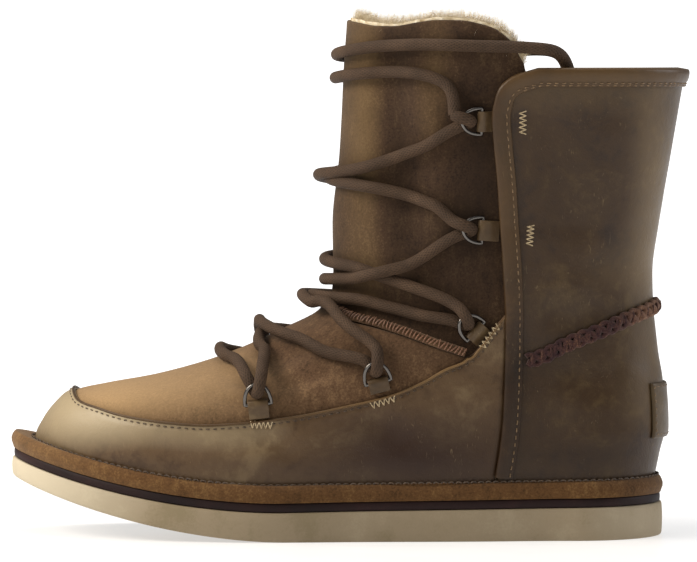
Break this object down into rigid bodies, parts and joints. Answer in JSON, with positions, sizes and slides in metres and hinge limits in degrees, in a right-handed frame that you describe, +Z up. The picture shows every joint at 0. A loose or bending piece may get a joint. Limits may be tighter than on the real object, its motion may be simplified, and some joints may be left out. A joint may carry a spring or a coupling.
{
  "type": "lace-up boot",
  "caption": "Left ankle-high lace-up boot with a soft flat sole, leather mudguard and quarters, a tall wrap-round suede tongue, and a round cord laced through D-rings.",
  "frame": {"origin": "middle of the boot's footprint box on the floor, free lace ends left out", "axes": "+X from toe to heel, +Y from the outer side to the inner side, +Z up"},
  "size_m": [0.286, 0.0989, 0.2158],
  "materials": {
    "foam_rubber": "matte beige foam rubber",
    "midsole_rubber": "dark maroon rubber, satin",
    "welt_suede": "tan suede roll, stitched",
    "insole_fleece": "cream fleece",
    "vamp_suede": "warm tan suede with a soft nap",
    "mudguard_leather": "waxed grey-brown leather, scuffed, satin",
    "quarter_leather": "waxed olive-brown leather, worn paler at edges",
    "binding_leather": "rolled leather edge, waxed",
    "tongue_suede": "brown suede with a soft nap",
    "patch_leather": "waxed leather, bare",
    "braid_cord": "plaited purple-brown leather cord with tan flecks",
    "edge_stitching": "orange-brown whip stitching over a rolled edge",
    "tab_leather": "folded waxed leather loop",
    "ring_steel": "gunmetal wire, polished",
    "lace_cord": "round waxed cord with a fine braid"
  },
  "bodies": {
    "root": {"outsole": "foam_rubber", "midsole": "midsole_rubber", "welt": "welt_suede", "insole": "insole_fleece", "upper": "vamp_suede", "mudguard": "mudguard_leather", "quarter": "quarter_leather", "binding": "binding_leather", "tongue": "tongue_suede", "heel_patch": "patch_leather", "heel_braid": "braid_cord", "vamp_edge_roll": "edge_stitching", "tab_1_outer": "tab_leather", "tab_1_inner": "tab_leather", "tab_2_outer": "tab_leather", "tab_2_inner": "tab_leather", "tab_3_outer": "tab_leather", "tab_3_inner": "tab_leather", "tab_4_outer": "tab_leather", "tab_4_inner": "tab_leather", "tab_5_outer": "tab_leather", "tab_5_inner": "tab_leather", "ring_1_outer": "ring_steel", "ring_1_inner": "ring_steel", "ring_2_outer": "ring_steel", "ring_2_inner": "ring_steel", "ring_3_outer": "ring_steel", "ring_3_inner": "ring_steel", "ring_4_outer": "ring_steel", "ring_4_inner": "ring_steel", "ring_5_outer": "ring_steel", "ring_5_inner": "ring_steel", "lace_bar": "lace_cord", "lace_crossing_4_5": "lace_cord", "lace_crossing_3_4": "lace_cord", "lace_crossing_2_3": "lace_cord", "lace_crossing_1_2": "lace_cord", "lace_end_inner": "lace_cord", "lace_end_outer": "lace_cord"}
  },
  "joints": []
}
